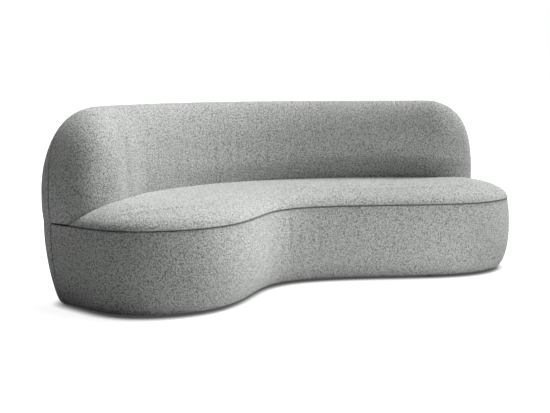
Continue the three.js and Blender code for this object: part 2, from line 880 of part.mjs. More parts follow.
function seatFoam() {
  const lines = seatLines(foamPlaceShares);
  const profiles = lines.map((line) =>
    [...underSeatTop(line, foamDepth), [line.length, SEAM_HEIGHT]]);
  return loft(lines, profiles, SEAT_PROFILE_STEPS + 1);
}

// Plywood and timber frame
function ringPoint(share, extra) {
  return planPoint(frameAt(share), ringInset(share) + extra);
}

function closedShape(pointAt) {
  return new THREE.Shape(stations.slice(1).map(pointAt));
}

function roundHole(centre, radius, sides) {
  const hole = new THREE.Path();
  const corners = range(sides).map((side) => {
    const angle = (2 * Math.PI * side) / sides;
    return new THREE.Vector2(radius * Math.cos(angle), radius * Math.sin(angle)).add(centre);
  });
  return hole.setFromPoints(corners);
}

function glidePlace(share) {
  return ringPoint(share, RING_WIDTH / 2);
}

function screwHoles() {
  return glideShares.map((share) => roundHole(glidePlace(share), SCREW_HOLE_RADIUS, SCREW_SIDES));
}

function plate(shape, bottom, thickness) {
  const geometry = new THREE.ExtrudeGeometry(shape, { depth: thickness, bevelEnabled: false });
  return geometry.translate(0, 0, bottom);
}

function bottomRing() {
  const shape = closedShape((share) => ringPoint(share, 0));
  const opening = closedShape((share) => ringPoint(share, RING_WIDTH));
  shape.holes = [new THREE.Path().setFromPoints(opening.getPoints()), ...screwHoles()];
  return plate(shape, RING_BOTTOM, PLY);
}

function dustCover() {
  const shape = closedShape((share) => ringPoint(share, DUST_COVER_MARGIN));
  shape.holes = screwHoles();
  return plate(shape, GLIDE_HEIGHT + GAP, DUST_COVER_THICKNESS);
}

function deckFrontReach(line) {
  return reachAt(line, RING_FRONT_INSET - frontInset(SEAM_HEIGHT) + DECK_FRONT_WIDTH);
}

function deckRing() {
  const shape = closedShape((share) => planPoint(frameAt(share), RING_FRONT_INSET));
  const lines = seatLines(deckHolePlaceShares);
  const front = lines.map((line) => planPoint(line, deckFrontReach(line)));
  const rear = lines.map((line) => planPoint(line, line.length - DECK_REAR_MARGIN)).reverse();
  shape.holes = [new THREE.Path().setFromPoints([...front, ...rear])];
  return plate(shape, deckBottom, PLY);
}

function post(share) {
  const middle = ringMiddle(share);
  const half = POST_THICKNESS / 2;
  const profile = rectangle(middle - half, middle + half, ringTop + GAP, deckBottom - GAP);
  return prism(frameAt(share), profile, POST_WIDTH);
}

function rail([frontShare, rearShare], bottom, top) {
  const origin = planPoint(frameAt(frontShare), ringMiddle(frontShare));
  const far = planPoint(frameAt(rearShare), ringMiddle(rearShare));
  const length = origin.distanceTo(far);
  const frame = { origin, inward: far.sub(origin).normalize() };
  return prism(frame, rectangle(0, length, bottom, top), RAIL_THICKNESS);
}

const outerRibDepth = OUTER_BOARD_DEPTH + BOARD_THICKNESS + RIB_CLEARANCE;
const innerRibDepth = innerBoardDepth + BOARD_THICKNESS + RIB_CLEARANCE;

function mixedProfile(first, second, part) {
  return first.map(([inset, z], index) => [mix(inset, second[index][0], part), z]);
}

// A plywood rib stands in the middle of a straight stretch between two stations
function rib(step) {
  const [before, after] = frameShares.slice(step, step + 2);
  const half = PLY / (2 * distanceAlong(before, after));
  const parts = [1 / 2 - half, 1 / 2 + half];
  const [first, second] = [before, after].map((share) => [
    ...outerBoardFace(share, outerRibDepth, frameHeights.length),
    ...innerBoardFace(share, innerRibDepth, frameHeights.length).reverse(),
  ]);
  const frames = parts.map((part) => frameAt(mix(before, after, part)));
  const profiles = parts.map((part) => mixedProfile(first, second, part));
  return loft(frames, profiles, frameHeights.length);
}

function topRail() {
  const edges = (share) => {
    const [outer, inner] = backEdges(share, ribTop);
    const middle = (outer + inner) / 2;
    return [middle - TOP_RAIL_WIDTH / 2, middle + TOP_RAIL_WIDTH / 2];
  };
  const heights = [ribTop + GAP, ribTop + GAP + PLY];
  const side = (index) => (share) => heights.map((z) => [edges(share)[index], z]);
  return sweep(boardShares, side(0), side(1));
}

function baseBoard(shares) {
  const outside = (share) => boardLine(share, GAP + BOARD_THICKNESS);
  return sweep(shares, outside, (share) => boardLine(share, GAP));
}

const boardShares = jointedShares(backPadShares);

function outerBackBoard() {
  const side = (depth) => (share) => outerBoardFace(share, depth, frameHeights.length - 1);
  return sweep(boardShares, side(OUTER_BOARD_DEPTH), side(OUTER_BOARD_DEPTH + BOARD_THICKNESS));
}

function innerBackBoard() {
  const side = (depth) => (share) => innerBoardFace(share, depth, frameHeights.length - 1);
  return sweep(boardShares, side(innerBoardDepth + BOARD_THICKNESS), side(innerBoardDepth));
}

// Zigzag spring wire laid flat across the deck's opening
class ZigzagWire extends THREE.Curve {
  constructor(line, start, length) {
    super();
    this.line = line;
    this.start = start;
    this.length = length;
    this.waves = Math.round(length / SPRING_WAVE);
  }

  getPoint(t) {
    const aside = new THREE.Vector2(-this.line.inward.y, this.line.inward.x);
    const swing = (SPRING_WIDTH / 2) * Math.sin(2 * Math.PI * this.waves * t);
    const spot = planPoint(this.line, this.start + this.length * t).addScaledVector(aside, swing);
    return new THREE.Vector3(spot.x, spot.y, DECK_TOP + GAP + WIRE / 2);
  }
}

function spring(place) {
  const line = seatLine(place);
  const start = deckFrontReach(line) - SPRING_SEAT;
  const end = line.length - DECK_REAR_MARGIN + SPRING_SEAT;
  const wire = new ZigzagWire(line, start, end - start);
  const half = WIRE / 2;
  const corners = rectangle(-half, half, -half, half).map(([x, y]) => new THREE.Vector2(x, y));
  const section = new THREE.Shape(corners);
  const steps = wire.waves * SPRING_STEPS_PER_WAVE;
  return new THREE.ExtrudeGeometry(section, { steps, extrudePath: wire, bevelEnabled: false });
}

// Glides and screws, turned about an upright axis
function turnedPiece(profile, sides, share) {
  const points = profile.map(([radius, z]) => new THREE.Vector2(radius, z));
  const geometry = new THREE.LatheGeometry(points, sides);
  const centre = glidePlace(share);
  return geometry.rotateX(Math.PI / 2).translate(centre.x, centre.y, 0);
}

function glide(share) {
  const profile = [
    [RECESS_RADIUS, 0],
    [GLIDE_RADIUS - GLIDE_CHAMFER, 0],
    [GLIDE_RADIUS, GLIDE_CHAMFER],
    [GLIDE_TOP_RADIUS, GLIDE_HEIGHT],
    [SCREW_HOLE_RADIUS, GLIDE_HEIGHT],
    [SCREW_HOLE_RADIUS, RECESS_DEPTH],
    [RECESS_RADIUS, RECESS_DEPTH],
    [RECESS_RADIUS, 0],
  ];
  return turnedPiece(profile, GLIDE_SIDES, share);
}

function glideScrew(share) {
  const seat = RECESS_DEPTH - GAP;
  const tip = RING_BOTTOM + SCREW_GRIP;
  const profile = [
    [0, seat - SCREW_HEAD_HEIGHT],
    [SCREW_HEAD_RADIUS, seat - SCREW_HEAD_HEIGHT],
    [SCREW_HEAD_RADIUS, seat],
    [SCREW_RADIUS, seat],
    [SCREW_RADIUS, tip - SCREW_POINT],
    [0, tip],
  ];
  return turnedPiece(profile, SCREW_SIDES, share);
}

add('seat_cover', seatCover(), boucle);
add('border_cover', borderCover(), boucle);
add('inner_back_cover', innerBackCover(), boucle);
add('outer_back_cover', outerBackCover(), boucle);
add('dust_cover', dustCover(), lining);

add('seat_foam', seatFoam(), foam);
add('seat_base_foam', seatSlab(SEAT_BASE_BOTTOM, SEAM_HEIGHT - GAP), foam);
add('border_foam', borderFoam(), foam);
add('back_arch_foam_left', backFoam(frameShares.slice(archMiddle)), foam);
add('back_arch_foam_right', backFoam(frameShares.slice(0, archMiddle + 1)), foam);
add('outer_back_foam', outerBackFoam(), foam);
add('nose_foam_block', endBlock(noseBlockShares), foam);
add('right_foam_block', endBlock(rightBlockShares), foam);
const feltBottom = DECK_TOP + GAP + WIRE + GAP;
add('spring_felt', seatSlab(feltBottom, feltBottom + FELT_THICKNESS), felt);

add('bottom_ring', bottomRing(), plywood);
add('seat_deck_ring', deckRing(), plywood);
add('back_top_rail', topRail(), plywood);
add('front_base_board', baseBoard(frontFrameShares), hardboard);
add('rear_base_board', baseBoard(boardShares), hardboard);
add('outer_back_board', outerBackBoard(), hardboard);
add('inner_back_board', innerBackBoard(), hardboard);

postShares.forEach((share, index) => add(`post_${index + 1}`, post(share), softwood));
evenShares(RIB_FIRST_STEP, RIB_LAST_STEP, RIB_COUNT - 1).forEach((step, index) => {
  add(`back_rib_${index + 1}`, rib(Math.round(step)), plywood);
});
railShares.forEach((pair, index) => {
  const railTop = deckBottom - GAP;
  const floorBottom = ringTop + GAP;
  add(`seat_rail_${index + 1}`, rail(pair, railTop - RAIL_HEIGHT, railTop), softwood);
  add(`floor_rail_${index + 1}`, rail(pair, floorBottom, floorBottom + FLOOR_RAIL_HEIGHT), softwood);
});
springPlaceShares.forEach((place, index) => {
  add(`zigzag_spring_${index + 1}`, spring(place), springSteel);
});
glideShares.forEach((share, index) => {
  add(`glide_${index + 1}`, glide(share), blackPlastic);
  add(`glide_screw_${index + 1}`, glideScrew(share), zincSteel);
});

export default sofa;
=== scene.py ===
"""Curved sofa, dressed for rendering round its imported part.

Metres, +Z up, in the part's own frame. The covers and foams are replaced by
upholstered bodies that follow the same outline and the same cross-sections as
the part, on finer grids. Only a shallow dent in the nose's inner face is filled.
Each body's skin swells a few millimetres in a short cloth simulation, and the
seams are rolled in after it.
"""
import json
import math

import bpy
import numpy as np
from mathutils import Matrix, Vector


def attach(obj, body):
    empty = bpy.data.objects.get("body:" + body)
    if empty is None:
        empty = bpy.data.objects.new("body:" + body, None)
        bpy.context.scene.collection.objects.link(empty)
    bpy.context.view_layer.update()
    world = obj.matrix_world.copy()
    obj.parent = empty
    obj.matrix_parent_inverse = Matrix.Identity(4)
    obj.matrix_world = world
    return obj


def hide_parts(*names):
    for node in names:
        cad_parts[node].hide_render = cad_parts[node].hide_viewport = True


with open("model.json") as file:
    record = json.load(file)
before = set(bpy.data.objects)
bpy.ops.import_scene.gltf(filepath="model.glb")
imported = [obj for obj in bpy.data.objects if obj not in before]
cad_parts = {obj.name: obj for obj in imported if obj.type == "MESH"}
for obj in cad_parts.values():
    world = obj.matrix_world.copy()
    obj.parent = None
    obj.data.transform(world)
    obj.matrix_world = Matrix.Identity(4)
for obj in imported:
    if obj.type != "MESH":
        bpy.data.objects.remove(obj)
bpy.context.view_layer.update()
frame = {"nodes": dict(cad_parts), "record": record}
bpy.context.scene.view_settings.view_transform = "Standard"

# Sizes of the part
LENGTH = 2.300
DEPTH = 1.087
HEIGHT = 0.800
SEAM_HEIGHT = 0.342
CROWN_HEIGHT = 0.429
SEAT_ROUNDING = 0.250
BORDER_BULGE_HEIGHT = 0.200
BORDER_TOP_ROUNDING = 0.218
BORDER_TUCK = 0.055
REAR_WIDEST_HEIGHT = 0.430
REAR_TUCK = 0.074
HEM_HEIGHT = 0.011
HEM_WIDTH = 0.024
HEM_RISE = 0.002
BACK_THICKNESS = 0.267
CORNER_EXTRA = 0.060
CORNER_REACH = 0.380
OUTER_ROUNDING_WIDTH = 0.152
OUTER_ROUNDING_HEIGHT = 0.350
INNER_ROUNDING_HEIGHT = 0.205
INNER_LEAN = 0.008
TOP_SEAM_HEIGHT = 0.7399
END_CROWN_START = 0.550
NOSE_END_RADIUS = 0.180
NOSE_DROP_LENGTH = 0.560
RIGHT_END_RADIUS = 0.200
RIGHT_DROP_LENGTH = 0.290
DIRECTION_WINDOW = 0.700
RING_FRONT_INSET = 0.078
RING_REAR_INSET = 0.118
NOSE_POWER = 2.75
RIGHT_POWER = 2.3
BLEND = 0.055

# The plan outline's control points, as shares of the length and the depth
OUTLINE_SHARES = [
    (-0.522, 0.005), (-0.478, -0.195), (-0.440, -0.465), (-0.262, -0.530),
    (-0.144, -0.328), (-0.044, -0.090), (0.131, -0.192), (0.330, -0.395),
    (0.491, -0.261), (0.522, 0.070), (0.333, 0.357), (0.048, 0.541),
    (-0.212, 0.454), (-0.409, 0.170),
]

# Places along the outline, as shares of its length
NOSE_TIP = 1.0496
RIGHT_TIP = 0.5405
NOSE_SEAM = 1.0185
RIGHT_SEAM = 0.576
NOSE_CONTACT = 0.0370
RIGHT_CONTACT = 0.572
CORNER = 0.99
FILL_PLACE = 1.007

# Sizes of the upholstery
FILL_REACH = 0.105
FILL_WIDTH = 0.025
SEAM_GAP = 0.0008
SEAM_ROLL = 0.006
SEAM_DEPTH = 0.009
# Reach of the dark line along seams and junctions: stitches and painted shade in the crease
STITCH_AND_SHADE_REACH = 0.0045
SEAM_LEAN = 0.082
SEAM_LEAN_START = 0.450
SEAM_LEAN_REACH = 0.350
JUNCTION_ROLL = 0.016
JUNCTION_DEPTH = 0.009
JUNCTION_GAP = 0.0015
PAD_DEPTH = 0.045
PAD_START = 0.280
PAD_REACH = 0.080
BOARD_CLEARANCE = 0.0083
BOARD_FOOT = 0.044
BOARD_HEAD = 0.282
LINING_FOOT = 0.027
SEAT_UNDERSIDE = 0.3115
UNDERSIDE_START = 0.078
UNDERSIDE_REACH = 0.012

# The cloth simulation
CLOTH_STEP = 0.020
CLOTH_FRAMES = 20
CLOTH_PRESSURE = 4.0
CLOTH_GLUE = 0.3
CLOTH_START_DROP = 0.0005
CLOTH_CAP = 0.008
CLOTH_HOLD = 0.012
CLOTH_EASE = 0.070
CLOTH_STILL = 1e-9

# Grid spacing
FAR = 1.0
TINY = 1e-12
SPLINE_STEPS = 96
OUTLINE_COUNT = 1344
ALONG_STEP = 0.009
SEAM_STEPS = np.array([0.2, 0.5, 1.0, 1.7, 2.6, 3.7, 5.0, 6.5, 9.0, 14.0]) / 1000
SEAM_ROWS = SEAM_GAP / 2 + np.concatenate([[0], SEAM_STEPS])
HEM_PARTS = (1, 0.75, 0.5, 0.33, 0.2, 0.1)
HEM_LIFTS = np.array([1, 0.4, 0, 0, 0, 0])
HEM_ROWS = len(HEM_PARTS)
HEM_SMOOTHED = 14
HEM_PASSES = 3
BORDER_LOW_ROWS = 26
BORDER_HIGH_ROWS = 16
BACK_LOW_ROWS = 42
BACK_HIGH_ROWS = 16
BACK_ARCH_ROWS = 30
BACK_FACE_ROWS = 26
FACE_GAP = 0.003
END_ROWS = 30
END_FIRST_WIDTH = 0.05
END_ROW_GAP = 0.002
FOOT_COUNT = 260
SEAT_SEAM_COUNT = 673
SEAT_LINES = 420
SEAT_ROWS = 76
SEAT_MARGIN = 0.002
SEAT_END_STEPS = np.array([12.5, 9.5, 7, 5, 3.2, 1.8, 0.8, 0]) / 1000
SEAT_END_REACH = 0.017
SHORT_LINE = 0.05
DISTANCE_CHUNK = 2000


def mix(start, end, part):
    return start + (end - start) * part


def smooth(value):
    held = np.clip(value, 0, 1)
    return held * held * (3 - 2 * held)


def rounded_rise(amount, power):
    held = np.clip(amount, 0, 1)
    return (1 - (1 - held) ** power) ** (1 / power)


# The plan outline


def spline_outline():
    controls = np.array(OUTLINE_SHARES)
    t = np.arange(SPLINE_STEPS)[:, None] / SPLINE_STEPS
    weights = [
        (1 - t) ** 3 / 6,
        (3 * t ** 3 - 6 * t ** 2 + 4) / 6,
        (-3 * t ** 3 + 3 * t ** 2 + 3 * t + 1) / 6,
        t ** 3 / 6,
    ]
    count = len(controls)
    return np.concatenate([
        sum(weight * controls[(index + offset - 1) % count]
            for offset, weight in enumerate(weights))
        for index in range(count)
    ])


def fit_to_size(points):
    low, high = points.min(0), points.max(0)
    return (points - (low + high) / 2) * (np.array([LENGTH, DEPTH]) / (high - low))


def run_lengths(points):
    steps = np.linalg.norm(np.diff(points, axis=0), axis=1)
    return np.concatenate([[0], np.cumsum(steps)])


def resampled(points, goals):
    run = run_lengths(points)
    return np.stack([np.interp(goals, run, points[:, axis]) for axis in range(2)], axis=1)


def evenly_spaced(points, count):
    loop = np.concatenate([points, points[:1]])
    return resampled(loop, run_lengths(loop)[-1] * np.arange(count) / count)


outline = evenly_spaced(fit_to_size(spline_outline()), OUTLINE_COUNT)
perimeter = np.linalg.norm(outline[1] - outline[0]) * OUTLINE_COUNT


def inward_directions():
    along = np.roll(outline, -1, axis=0) - np.roll(outline, 1, axis=0)
    along /= np.linalg.norm(along, axis=1)[:, None]
    normals = np.stack([-along[:, 1], along[:, 0]], axis=1)
    reach = round(DIRECTION_WINDOW / perimeter * OUTLINE_COUNT)
    weights = reach + 1 - np.abs(np.arange(-reach, reach + 1))
    padded = np.concatenate([normals[-reach:], normals, normals[:reach]])
    sums = np.stack([np.convolve(padded[:, axis], weights, "valid") for axis in range(2)], axis=1)
    return sums / np.linalg.norm(sums, axis=1)[:, None]


directions = inward_directions()


def plan_frame(shares):
    """Points on the outline and the inward directions there."""
    position = np.asarray(shares) * OUTLINE_COUNT
    index = np.floor(position).astype(int)
    part = (position - index)[..., None]
    first, second = index % OUTLINE_COUNT, (index + 1) % OUTLINE_COUNT
    origin = mix(outline[first], outline[second], part)
    inward = mix(directions[first], directions[second], part)
    return origin, inward / np.linalg.norm(inward, axis=-1, keepdims=True)


def plan_points(shares, insets):
    origin, inward = plan_frame(shares)
    return origin + inward * np.asarray(insets)[..., None]


# The cross-sections, as in the part apart from the filled dent


def rearness(shares):
    front_middle = (NOSE_TIP + RIGHT_TIP - 1) / 2
    along = np.where(shares < front_middle, shares + 1, shares)
    after_right = smooth((along - RIGHT_SEAM) / (2 * BLEND) + 0.5)
    before_nose = smooth((NOSE_SEAM - along) / (2 * BLEND) + 0.5)
    return after_right * before_nose


def front_inset(z):
    below = BORDER_BULGE_HEIGHT - z
    reach = np.where(below > 0, BORDER_BULGE_HEIGHT - HEM_HEIGHT, BORDER_TOP_ROUNDING)
    return BORDER_TUCK * (1 - np.sqrt(np.clip(1 - (below / reach) ** 2, 0, 1)))


def rear_inset(z):
    down = np.maximum(REAR_WIDEST_HEIGHT - z, 0) / (REAR_WIDEST_HEIGHT - HEM_HEIGHT)
    return REAR_TUCK * down ** 2


def skin_inset(shares, z):
    held = np.minimum(z, SEAM_HEIGHT)
    inset = mix(front_inset(held), rear_inset(held), rearness(shares))
    above = rear_inset(z) / rear_inset(SEAM_HEIGHT)
    return np.where(z > SEAM_HEIGHT, inset * above, inset)


def back_width(shares):
    """The back's width at its foot, wider at the corner and over the dent."""
    away = np.abs(shares - CORNER) * perimeter / CORNER_REACH
    fill = np.exp(-((shares - FILL_PLACE) * perimeter / FILL_REACH) ** 2)
    return BACK_THICKNESS + CORNER_EXTRA * (1 - smooth(away)) + FILL_WIDTH * fill


def outer_rounding_width(shares):
    return OUTER_ROUNDING_WIDTH * back_width(shares) / BACK_THICKNESS


def closed_in(shares, inset, z):
    """A cross-section's points, moved in to suit the back's rounded ends."""
    to_nose = np.abs(NOSE_TIP - shares) * perimeter
    to_right = np.abs(shares - RIGHT_TIP) * perimeter
    width = np.minimum(rounded_rise(to_nose / NOSE_END_RADIUS, NOSE_POWER),
                       rounded_rise(to_right / RIGHT_END_RADIUS, RIGHT_POWER))
    drop = np.minimum(rounded_rise(to_nose / NOSE_DROP_LENGTH, NOSE_POWER),
                      rounded_rise(to_right / RIGHT_DROP_LENGTH, RIGHT_POWER))
    top = mix(END_CROWN_START, HEIGHT, drop)
    middle = back_width(shares) / 2
    lift = (z - CROWN_HEIGHT) / (HEIGHT - CROWN_HEIGHT)
    height = np.where(lift > 0, mix(CROWN_HEIGHT, top, lift), z)
    return middle + (inset - middle) * width, height


def outer_profile(shares, climbs):
    """The outer side by climb: below 0 it is the side, above it the arc."""
    start = HEIGHT - OUTER_ROUNDING_HEIGHT
    side_z = start + OUTER_ROUNDING_HEIGHT * climbs
    arc_z = start + OUTER_ROUNDING_HEIGHT * np.sin(climbs)
    arc_inset = outer_rounding_width(shares) * (1 - np.cos(climbs))
    z = np.where(climbs < 0, side_z, arc_z)
    inset = np.where(climbs < 0, skin_inset(shares, side_z), arc_inset)
    return closed_in(shares, inset, z)


def climb_at(z):
    above = (z - HEIGHT + OUTER_ROUNDING_HEIGHT) / OUTER_ROUNDING_HEIGHT
    return above if above < 0 else math.asin(above)


top_seam_climb = climb_at(TOP_SEAM_HEIGHT)
climb_metres = math.hypot(OUTER_ROUNDING_WIDTH * math.sin(top_seam_climb),
                          OUTER_ROUNDING_HEIGHT * math.cos(top_seam_climb))


def inner_profile(shares, angles):
    start = outer_rounding_width(shares)
    reach = back_width(shares) - start - INNER_LEAN
    inset = start + reach * np.sin(angles)
    z = HEIGHT - INNER_ROUNDING_HEIGHT * (1 - np.cos(angles))
    return closed_in(shares, inset, z * np.ones_like(inset))


def face_profile(shares, z):
    top = HEIGHT - INNER_ROUNDING_HEIGHT
    lean = INNER_LEAN * np.clip((z - CROWN_HEIGHT) / (top - CROWN_HEIGHT), 0, 1)
    inset = back_width(shares) - lean
    return closed_in(shares, inset, z * np.ones_like(inset))


# Grids


def seamed_steps(length):
    """Distances along a panel from seam to seam, closer together at both seams."""
    count = max(int((length - 2 * SEAM_ROWS[-1]) / ALONG_STEP), 1)
    middle = np.linspace(SEAM_ROWS[-1], length - SEAM_ROWS[-1], count + 1)[1:-1]
    return np.concatenate([SEAM_ROWS, middle, length - SEAM_ROWS[::-1]])


def surface(shares, profile):
    inset, z = profile
    origin, inward = plan_frame(np.broadcast_to(shares, inset.shape))
    return np.concatenate([origin + inward * inset[..., None], z[..., None]], axis=2)


def leaned(shares, climbs):
    """Shares moved so that the side seams lean to the rear and run into the top seam."""
    start = HEIGHT - OUTER_ROUNDING_HEIGHT
    z = start + OUTER_ROUNDING_HEIGHT * np.where(climbs < 0, climbs, np.sin(climbs))
    rise = np.clip((z - SEAM_LEAN_START) / (TOP_SEAM_HEIGHT - SEAM_LEAN_START), 0, 1) ** 2
    over = smooth((climbs - top_seam_climb) / (math.pi / 2 - top_seam_climb))
    lean = SEAM_LEAN / perimeter * rise * (1 - over)
    past_nose = (shares - NOSE_SEAM) / (NOSE_TIP - NOSE_SEAM)
    before_nose = (NOSE_SEAM - shares) * perimeter / SEAM_LEAN_REACH
    past_right = (RIGHT_SEAM - shares) / (RIGHT_SEAM - RIGHT_TIP)
    before_right = (shares - RIGHT_SEAM) * perimeter / SEAM_LEAN_REACH
    at_nose = 1 - smooth(np.maximum(past_nose, before_nose))
    at_right = 1 - smooth(np.maximum(past_right, before_right))
    return shares + lean * (at_right - at_nose)


def grid_normals(points, outward):
    """Unit normals of a grid of points. Outward is 1 or -1, so that they point out."""
    normal = np.cross(np.gradient(points, axis=0), np.gradient(points, axis=1))
    normal /= np.maximum(np.linalg.norm(normal, axis=2, keepdims=True), TINY)
    return normal * outward


def grid_faces(rows, columns):
    start = np.arange(rows - 1)[:, None] * columns + np.arange(columns - 1)[None, :]
    return np.stack([start, start + columns, start + columns + 1, start + 1], axis=2)


def groove(distance, roll=SEAM_ROLL, depth=SEAM_DEPTH):
    away = 1 - np.clip(distance / roll, 0, 1)
    return depth * (1 - np.sqrt(1 - away ** 2))


def stitch_and_shade_at(distance):
    """How far a point lies in the dark line along a seam or a junction, from 0 outside it to 1 at
    the stitches; the line is stitches and painted shade in the crease.
    """
    return 1 - smooth(distance / STITCH_AND_SHADE_REACH)


def column_run(points):
    """Mean length run along the columns of a grid."""
    steps = np.linalg.norm(np.diff(points, axis=1), axis=2).mean(0)
    return np.concatenate([[0], np.cumsum(steps)])


def between_knots(knots, values, places):
    """Smooth values between knots, along the first axis."""
    slopes = np.gradient(values, knots, axis=0)
    index = np.clip(np.searchsorted(knots, places, side="right") - 1, 0, len(knots) - 2)
    width = (knots[index + 1] - knots[index])[:, None, None]
    t = (places - knots[index])[:, None, None] / width
    start = (2 * t ** 3 - 3 * t ** 2 + 1) * values[index]
    end = (3 * t ** 2 - 2 * t ** 3) * values[index + 1]
    start_slope = (t ** 3 - 2 * t ** 2 + t) * slopes[index]
    end_slope = (t ** 3 - t ** 2) * slopes[index + 1]
    return start + end + width * (start_slope + end_slope)


def thinned(run):
    """Indices about a cloth step apart, the first and the last among them."""
    goals = np.linspace(0, run[-1], max(int(run[-1] / CLOTH_STEP), 2) + 1)
    return np.unique(np.abs(run[:, None] - goals[None, :]).argmin(0))


def blown(points, outward, held):
    """Where a grid of cloth points ends under pressure, after a short simulation."""
    mesh = bpy.data.meshes.new("cloth_trial")
    faces = grid_faces(*points.shape[:2])[..., ::outward].reshape(-1, 4)
    mesh.from_pydata(points.reshape(-1, 3).tolist(), [], faces.tolist())
    body = bpy.data.objects.new("cloth_trial", mesh)
    bpy.context.scene.collection.objects.link(body)
    group = body.vertex_groups.new(name="held")
    group.add(np.flatnonzero(~held.ravel()).tolist(), CLOTH_GLUE, "REPLACE")
    group.add(np.flatnonzero(held.ravel()).tolist(), 1.0, "REPLACE")
    cloth = body.modifiers.new("cloth", "CLOTH")
    cloth.settings.use_pressure = True
    cloth.settings.uniform_pressure_force = CLOTH_PRESSURE
    cloth.settings.vertex_group_mass = "held"
    cloth.settings.effector_weights.gravity = 0
    cloth.collision_settings.use_collision = False
    cloth.point_cache.frame_start = 1
    cloth.point_cache.frame_end = CLOTH_FRAMES
    for number in range(1, CLOTH_FRAMES + 1):
        bpy.context.scene.frame_set(number)
    shape = body.evaluated_get(bpy.context.evaluated_depsgraph_get()).data
    found = np.empty(len(shape.vertices) * 3)
    shape.vertices.foreach_get("co", found)
    bpy.data.objects.remove(body)
    bpy.data.meshes.remove(mesh)
    bpy.context.scene.frame_set(1)
    return found.reshape(points.shape)


def swelled(points, outward, distance):
    """A panel's grid after its cloth has swelled between the seams that hold it."""
    row_run, run = column_run(points.swapaxes(0, 1)), column_run(points)
    rows, columns = thinned(row_run), thinned(run)
    chosen = np.ix_(rows, columns)
    ease = smooth(distance / CLOTH_EASE)[..., None]
    lowered = points - grid_normals(points, outward) * CLOTH_START_DROP * ease
    start = lowered[chosen]
    moved = blown(start, outward, distance[chosen] < CLOTH_HOLD) - start
    length = np.linalg.norm(moved, axis=2, keepdims=True)
    moved *= CLOTH_CAP * np.tanh(length / CLOTH_CAP) / np.maximum(length, CLOTH_STILL)
    across = between_knots(row_run[rows], moved, row_run)
    fine = between_knots(run[columns], across.swapaxes(0, 1), run).swapaxes(0, 1)
    return lowered + fine * ease


def cap_faces(cap, heights):
    """Faces of a narrow end between the two sides of a row that runs up and over."""
    first, last = 0, len(cap) - 1
    made = []
    while last - first > 1:
        if heights[first + 1] < heights[last - 1]:
            made.append([cap[first], cap[first + 1], cap[last]])
            first += 1
        else:
            made.append([cap[first], cap[last - 1], cap[last]])
            last -= 1
    return made


def closed_body(name, skin, lining, faces, stitch_and_shade, caps=()):
    """A closed mesh of an outer skin and an inner one with the same faces."""
    skin, lining = skin.reshape(-1, 3), lining.reshape(-1, 3)
    count = len(skin)
    faces = faces.reshape(-1, 4)
    edges = np.concatenate([faces[:, [side, (side + 1) % 4]] for side in range(4)])
    for cap in caps:
        ring = np.asarray(cap)
        edges = np.concatenate([edges, np.stack([ring, np.roll(ring, -1)], axis=1)])
    codes = edges[:, 0].astype(np.int64) * count + edges[:, 1]
    mirrored = edges[:, 1].astype(np.int64) * count + edges[:, 0]
    rim = edges[~np.isin(codes, mirrored)]
    rims = np.stack([rim[:, 1], rim[:, 0], rim[:, 0] + count, rim[:, 1] + count], axis=1)
    polygons = [*faces.tolist(), *(faces[:, ::-1] + count).tolist(), *rims.tolist()]
    for cap in caps:
        for face in cap_faces(cap, skin[cap, 2]):
            polygons += [face, [corner + count for corner in reversed(face)]]
    mesh = bpy.data.meshes.new(name)
    mesh.from_pydata(np.concatenate([skin, lining]).tolist(), [], polygons)
    mesh.polygons.foreach_set("use_smooth", np.ones(len(mesh.polygons), bool))
    mesh.validate()
    # Per point, the dark line of stitches and painted crease shade along seams and junctions
    attribute = mesh.attributes.new("stitch_and_shade", "FLOAT", "POINT")
    attribute.data.foreach_set("value", np.concatenate([np.ravel(stitch_and_shade), np.zeros(count)]))
    body = bpy.data.objects.new(name, mesh)
    bpy.context.scene.collection.objects.link(body)
    return body


def drop_unused(skin, lining, faces):
    """The points that faces use, the faces with their new numbers, and all the numbers."""
    used = np.unique(faces)
    renumber = np.full(len(skin), -1)
    renumber[used] = np.arange(len(used))
    return skin[used], lining[used], renumber[faces], renumber


# Side panels


def side_heights():
    """Heights up the side from the hem to the seam, closer together at both ends."""
    curve = np.sin(np.linspace(math.pi / 2, 0, BORDER_LOW_ROWS))
    low = BORDER_BULGE_HEIGHT - (BORDER_BULGE_HEIGHT - HEM_HEIGHT) * curve
    top = SEAM_HEIGHT - SEAM_GAP / 2
    high = np.linspace(BORDER_BULGE_HEIGHT, top - SEAM_STEPS[-1], BORDER_HIGH_ROWS)[1:-1]
    return np.concatenate([low, high, top - SEAM_STEPS[::-1], [top]])


def side_profile(shares, heights):
    """The hem under the base and the side above it, smoothed where they meet."""
    foot = skin_inset(shares, HEM_HEIGHT)
    hem_inset = np.concatenate([foot + HEM_WIDTH * part for part in HEM_PARTS], axis=1)
    hem_z = (HEM_HEIGHT + HEM_LIFTS * HEM_RISE)[None, :] * np.ones_like(foot)
    side_z = heights[None, :] * np.ones_like(foot)
    inset = np.concatenate([hem_inset, skin_inset(shares, side_z)], axis=1)
    z = np.concatenate([hem_z, side_z], axis=1)
    for _ in range(HEM_PASSES):
        for line in (inset, z):
            beside = line[:, :HEM_SMOOTHED - 1] + 2 * line[:, 1:HEM_SMOOTHED]
            line[:, 1:HEM_SMOOTHED] = (beside + line[:, 2:HEM_SMOOTHED + 1]) / 4
    return inset, z


def board_inset(shares, z):
    """Where the boards under the side pads stand, less a clearance."""
    foot = mix(RING_FRONT_INSET, RING_REAR_INSET, rearness(shares)) - BOARD_CLEARANCE
    head = RING_FRONT_INSET - BOARD_CLEARANCE
    part = np.clip((z - BOARD_FOOT) / (BOARD_HEAD - BOARD_FOOT), 0, 1)
    return mix(foot, head, part)


def side_lining(shares, z):
    """The inner side of a side pad, against the boards."""
    part = np.clip((z - HEM_HEIGHT) / (SEAM_HEIGHT - HEM_HEIGHT), 0, 1)
    held = mix(LINING_FOOT, SEAM_HEIGHT - SEAM_GAP / 2, part)
    return board_inset(shares, held), held


